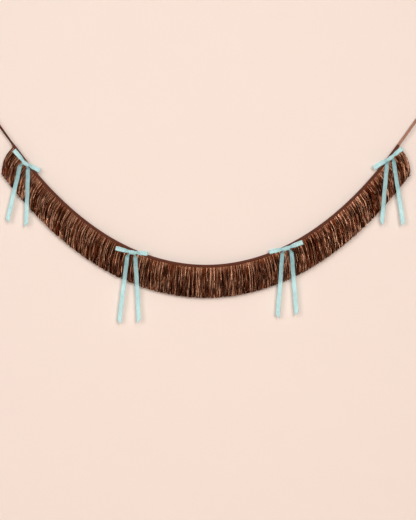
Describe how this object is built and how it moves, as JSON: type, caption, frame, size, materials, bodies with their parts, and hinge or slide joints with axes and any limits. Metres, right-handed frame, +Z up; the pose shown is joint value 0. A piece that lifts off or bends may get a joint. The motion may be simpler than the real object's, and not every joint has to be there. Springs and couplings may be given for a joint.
{
  "type": "fringe bow banner",
  "caption": "Swag of dark brown foil fringe hanging from a folded satin tape on ribbon ties, trimmed with pale blue ribbon bows.",
  "frame": {"origin": "where a hook bears on the inside of the left hanging loop's far end", "axes": "+X along the banner from the left hanging loop to the right one, +Y towards the wall behind it, +Z up"},
  "size_m": [1.7669, 0.0152, 0.8794],
  "materials": {
    "brown_satin": "dark brown satin ribbon",
    "chocolate_foil": "metallic chocolate brown foil film",
    "pale_blue_satin": "pale blue satin ribbon"
  },
  "bodies": {
    "hangers": {"left_hanging_loop": "brown_satin", "left_hanging_knot": "brown_satin", "right_hanging_loop": "brown_satin", "right_hanging_knot": "brown_satin"},
    "swag": {"header_tape": "brown_satin", "fringe_head": "chocolate_foil", "left_tie": "brown_satin", "right_tie": "brown_satin", "bow_1_knot": "pale_blue_satin", "bow_1_left_loop": "pale_blue_satin", "bow_1_right_loop": "pale_blue_satin", "bow_2_knot": "pale_blue_satin", "bow_2_left_loop": "pale_blue_satin", "bow_2_right_loop": "pale_blue_satin", "bow_3_knot": "pale_blue_satin", "bow_3_left_loop": "pale_blue_satin", "bow_3_right_loop": "pale_blue_satin", "bow_4_knot": "pale_blue_satin", "bow_4_left_loop": "pale_blue_satin", "bow_4_right_loop": "pale_blue_satin"},
    "fringe_section_01": {"fringe_section_01": "chocolate_foil"},
    "fringe_section_02": {"fringe_section_02": "chocolate_foil"},
    "fringe_section_03": {"fringe_section_03": "chocolate_foil"},
    "fringe_section_04": {"fringe_section_04": "chocolate_foil"},
    "fringe_section_05": {"fringe_section_05": "chocolate_foil"},
    "fringe_section_06": {"fringe_section_06": "chocolate_foil"},
    "fringe_section_07": {"fringe_section_07": "chocolate_foil"},
    "fringe_section_08": {"fringe_section_08": "chocolate_foil"},
    "fringe_section_09": {"fringe_section_09": "chocolate_foil"},
    "fringe_section_10": {"fringe_section_10": "chocolate_foil"},
    "fringe_section_11": {"fringe_section_11": "chocolate_foil"},
    "fringe_section_12": {"fringe_section_12": "chocolate_foil"},
    "fringe_section_13": {"fringe_section_13": "chocolate_foil"},
    "fringe_section_14": {"fringe_section_14": "chocolate_foil"},
    "fringe_section_15": {"fringe_section_15": "chocolate_foil"},
    "fringe_section_16": {"fringe_section_16": "chocolate_foil"},
    "fringe_section_17": {"fringe_section_17": "chocolate_foil"},
    "fringe_section_18": {"fringe_section_18": "chocolate_foil"},
    "fringe_section_19": {"fringe_section_19": "chocolate_foil"},
    "fringe_section_20": {"fringe_section_20": "chocolate_foil"},
    "bow_1_left_tail": {"bow_1_left_tail": "pale_blue_satin"},
    "bow_1_right_tail": {"bow_1_right_tail": "pale_blue_satin"},
    "bow_2_left_tail": {"bow_2_left_tail": "pale_blue_satin"},
    "bow_2_right_tail": {"bow_2_right_tail": "pale_blue_satin"},
    "bow_3_left_tail": {"bow_3_left_tail": "pale_blue_satin"},
    "bow_3_right_tail": {"bow_3_right_tail": "pale_blue_satin"},
    "bow_4_left_tail": {"bow_4_left_tail": "pale_blue_satin"},
    "bow_4_right_tail": {"bow_4_right_tail": "pale_blue_satin"}
  },
  "joints": [
    {"name": "swag_swing", "type": "hinge", "parent": "hangers", "child": "swag", "pos_m": [0.87845, 0, -0.04601], "axis": [-1, 0, 0], "range_deg": [0, 45]},
    {"name": "section_01_swing", "type": "hinge", "parent": "swag", "child": "fringe_section_01", "pos_m": [0.14986, 0, -0.22187], "axis": [-0.6034, 0, 0.7974], "range_deg": [-12, 0]},
    {"name": "section_02_swing", "type": "hinge", "parent": "swag", "child": "fringe_section_02", "pos_m": [0.2074, 0, -0.2939], "axis": [-0.6458, 0, 0.7635], "range_deg": [-12, 0]},
    {"name": "section_03_swing", "type": "hinge", "parent": "swag", "child": "fringe_section_03", "pos_m": [0.2691, 0, -0.36256], "axis": [-0.692, 0, 0.7219], "range_deg": [-12, 45]},
    {"name": "section_04_swing", "type": "hinge", "parent": "swag", "child": "fringe_section_04", "pos_m": [0.33533, 0, -0.42703], "axis": [-0.7418, 0, 0.6706], "range_deg": [-12, 45]},
    {"name": "section_05_swing", "type": "hinge", "parent": "swag", "child": "fringe_section_05", "pos_m": [0.40641, 0, -0.48633], "axis": [-0.7943, 0, 0.6075], "range_deg": [-12, 45]},
    {"name": "section_06_swing", "type": "hinge", "parent": "swag", "child": "fringe_section_06", "pos_m": [0.48255, 0, -0.53926], "axis": [-0.8477, 0, 0.5304], "range_deg": [-12, 0]},
    {"name": "section_07_swing", "type": "hinge", "parent": "swag", "child": "fringe_section_07", "pos_m": [0.56374, 0, -0.5844], "axis": [-0.8992, 0, 0.4375], "range_deg": [-12, 0]},
    {"name": "section_08_swing", "type": "hinge", "parent": "swag", "child": "fringe_section_08", "pos_m": [0.64962, 0, -0.6202], "axis": [-0.9446, 0, 0.3282], "range_deg": [-12, 0]},
    {"name": "section_09_swing", "type": "hinge", "parent": "swag", "child": "fringe_section_09", "pos_m": [0.7394, 0, -0.64515], "axis": [-0.979, 0, 0.2041], "range_deg": [-12, 45]},
    {"name": "section_10_swing", "type": "hinge", "parent": "swag", "child": "fringe_section_10", "pos_m": [0.83179, 0, -0.65799], "axis": [-0.9976, 0, 0.0693], "range_deg": [-12, 45]},
    {"name": "section_11_swing", "type": "hinge", "parent": "swag", "child": "fringe_section_11", "pos_m": [0.9251, 0, -0.65799], "axis": [-0.9976, 0, -0.0693], "range_deg": [-12, 45]},
    {"name": "section_12_swing", "type": "hinge", "parent": "swag", "child": "fringe_section_12", "pos_m": [1.01749, 0, -0.64515], "axis": [-0.979, 0, -0.2041], "range_deg": [-12, 45]},
    {"name": "section_13_swing", "type": "hinge", "parent": "swag", "child": "fringe_section_13", "pos_m": [1.10727, 0, -0.6202], "axis": [-0.9446, 0, -0.3282], "range_deg": [-12, 0]},
    {"name": "section_14_swing", "type": "hinge", "parent": "swag", "child": "fringe_section_14", "pos_m": [1.19316, 0, -0.5844], "axis": [-0.8992, 0, -0.4375], "range_deg": [-12, 0]},
    {"name": "section_15_swing", "type": "hinge", "parent": "swag", "child": "fringe_section_15", "pos_m": [1.27435, 0, -0.53926], "axis": [-0.8477, 0, -0.5304], "range_deg": [-12, 0]},
    {"name": "section_16_swing", "type": "hinge", "parent": "swag", "child": "fringe_section_16", "pos_m": [1.35049, 0, -0.48633], "axis": [-0.7943, 0, -0.6075], "range_deg": [-12, 45]},
    {"name": "section_17_swing", "type": "hinge", "parent": "swag", "child": "fringe_section_17", "pos_m": [1.42157, 0, -0.42703], "axis": [-0.7418, 0, -0.6706], "range_deg": [-12, 45]},
    {"name": "section_18_swing", "type": "hinge", "parent": "swag", "child": "fringe_section_18", "pos_m": [1.4878, 0, -0.36256], "axis": [-0.692, 0, -0.7219], "range_deg": [-12, 45]},
    {"name": "section_19_swing", "type": "hinge", "parent": "swag", "child": "fringe_section_19", "pos_m": [1.5495, 0, -0.2939], "axis": [-0.6458, 0, -0.7635], "range_deg": [-12, 0]},
    {"name": "section_20_swing", "type": "hinge", "parent": "swag", "child": "fringe_section_20", "pos_m": [1.60704, 0, -0.22187], "axis": [-0.6034, 0, -0.7974], "range_deg": [-12, 0]},
    {"name": "bow_1_left_tail_lift", "type": "hinge", "parent": "swag", "child": "bow_1_left_tail", "pos_m": [0.15919, -0.00855, -0.24774], "axis": [-0.9748, 0, 0.2233], "range_deg": [0, 90]},
    {"name": "bow_1_right_tail_lift", "type": "hinge", "parent": "swag", "child": "bow_1_right_tail", "pos_m": [0.18809, -0.00855, -0.25878], "axis": [-0.9994, 0, 0.0349], "range_deg": [0, 90]},
    {"name": "bow_2_left_tail_lift", "type": "hinge", "parent": "swag", "child": "bow_2_left_tail", "pos_m": [0.57494, -0.00855, -0.59809], "axis": [-0.9923, 0, 0.1236], "range_deg": [0, 90]},
    {"name": "bow_2_right_tail_lift", "type": "hinge", "parent": "swag", "child": "bow_2_right_tail", "pos_m": [0.6035, -0.00855, -0.60128], "axis": [-0.9984, 0, -0.0558], "range_deg": [0, 90]},
    {"name": "bow_3_left_tail_lift", "type": "hinge", "parent": "swag", "child": "bow_3_left_tail", "pos_m": [1.17694, -0.00855, -0.58739], "axis": [-0.9972, 0, 0.075], "range_deg": [0, 90]},
    {"name": "bow_3_right_tail_lift", "type": "hinge", "parent": "swag", "child": "bow_3_right_tail", "pos_m": [1.20992, -0.00855, -0.58233], "axis": [-0.9965, 0, -0.0837], "range_deg": [0, 90]},
    {"name": "bow_4_left_tail_lift", "type": "hinge", "parent": "swag", "child": "bow_4_left_tail", "pos_m": [1.58335, -0.00855, -0.23858], "axis": [-0.9963, 0, 0.0854], "range_deg": [0, 90]},
    {"name": "bow_4_right_tail_lift", "type": "hinge", "parent": "swag", "child": "bow_4_right_tail", "pos_m": [1.60579, -0.00855, -0.22831], "axis": [-0.9885, 0, -0.1513], "range_deg": [0, 90]}
  ]
}
